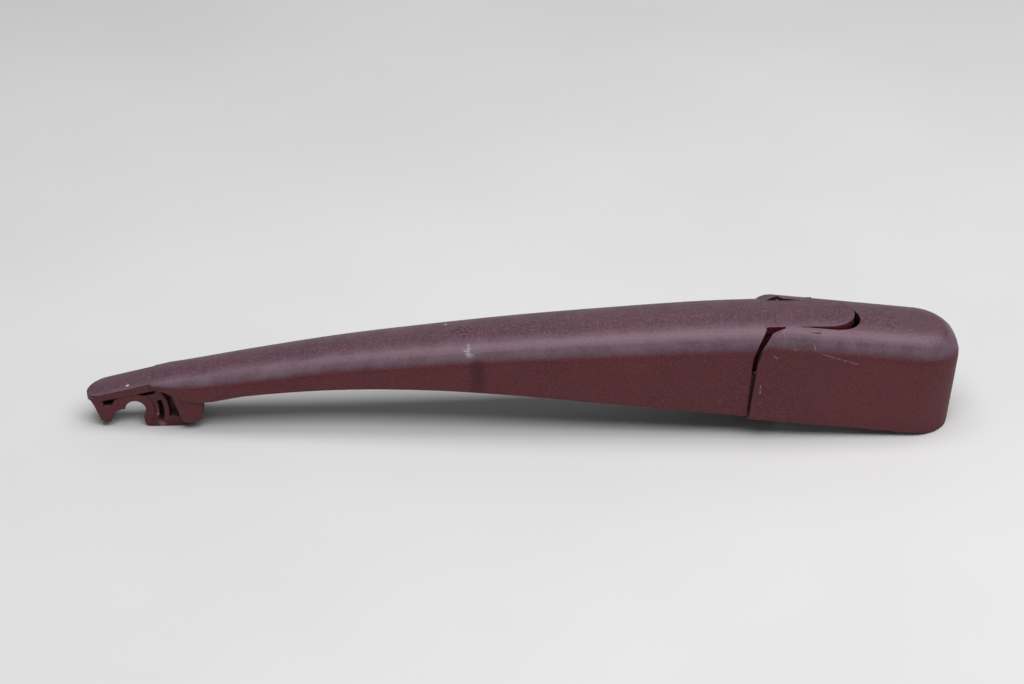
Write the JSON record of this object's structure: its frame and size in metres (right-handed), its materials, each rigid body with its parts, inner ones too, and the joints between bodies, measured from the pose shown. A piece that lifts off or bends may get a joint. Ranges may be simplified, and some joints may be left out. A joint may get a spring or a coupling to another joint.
{
  "type": "wiper arm",
  "caption": "Rear wiper arm: a moulded channel with a snap-in blade hook, hinged on a die cast head and pulled down by a spring, with a flip cover over the spindle nut.",
  "frame": {"origin": "middle of the spindle hole, in the face that the nut seats on", "axes": "+Z along the spindle, away from the glass; the arm reaches towards -X from its hinge; +Y is the far side in the picture"},
  "size_m": [0.2866, 0.0352, 0.0664],
  "materials": {
    "arm_plastic": "fine grained black plastic, weathered to a brownish grey, satin",
    "cover_plastic": "fine grained black plastic, weathered to a brownish grey, satin",
    "cast_alloy": "as cast, blasted",
    "steel": "turned",
    "bush_nylon": "natural nylon",
    "zinc_plate": "zinc plated",
    "spring_steel": "drawn spring wire, oiled"
  },
  "bodies": {
    "head": {"mounting_head": "cast_alloy", "hinge_pin": "steel", "link_pin": "steel"},
    "arm": {"arm_shell": "arm_plastic", "bush_near": "bush_nylon", "bush_far": "bush_nylon", "spring_pin": "steel", "tension_spring": "spring_steel"},
    "cover": {"cover_cap": "cover_plastic"},
    "link": {"spring_link": "zinc_plate"}
  },
  "joints": [
    {"name": "arm_fold", "type": "hinge", "parent": "head", "child": "arm", "pos_m": [-0.039, 0, 0.0044], "axis": [0, 1, 0], "range_deg": [0, 45], "stiffness_Nm_per_rad": 0.5, "springref_deg": -68.75, "deforming": ["tension_spring"]},
    {"name": "cover_flip", "type": "hinge", "parent": "head", "child": "cover", "pos_m": [-0.039, 0, 0.0044], "axis": [0, -1, 0], "range_deg": [0, 33]},
    {"name": "link_swing", "type": "hinge", "parent": "head", "child": "link", "pos_m": [-0.03501, 0, -0.00315], "axis": [0, 1, 0], "range_deg": [0, 42]}
  ],
  "couplings": [
    {"joint": "link_swing", "follows": "arm_fold", "ratio": 0.93}
  ]
}
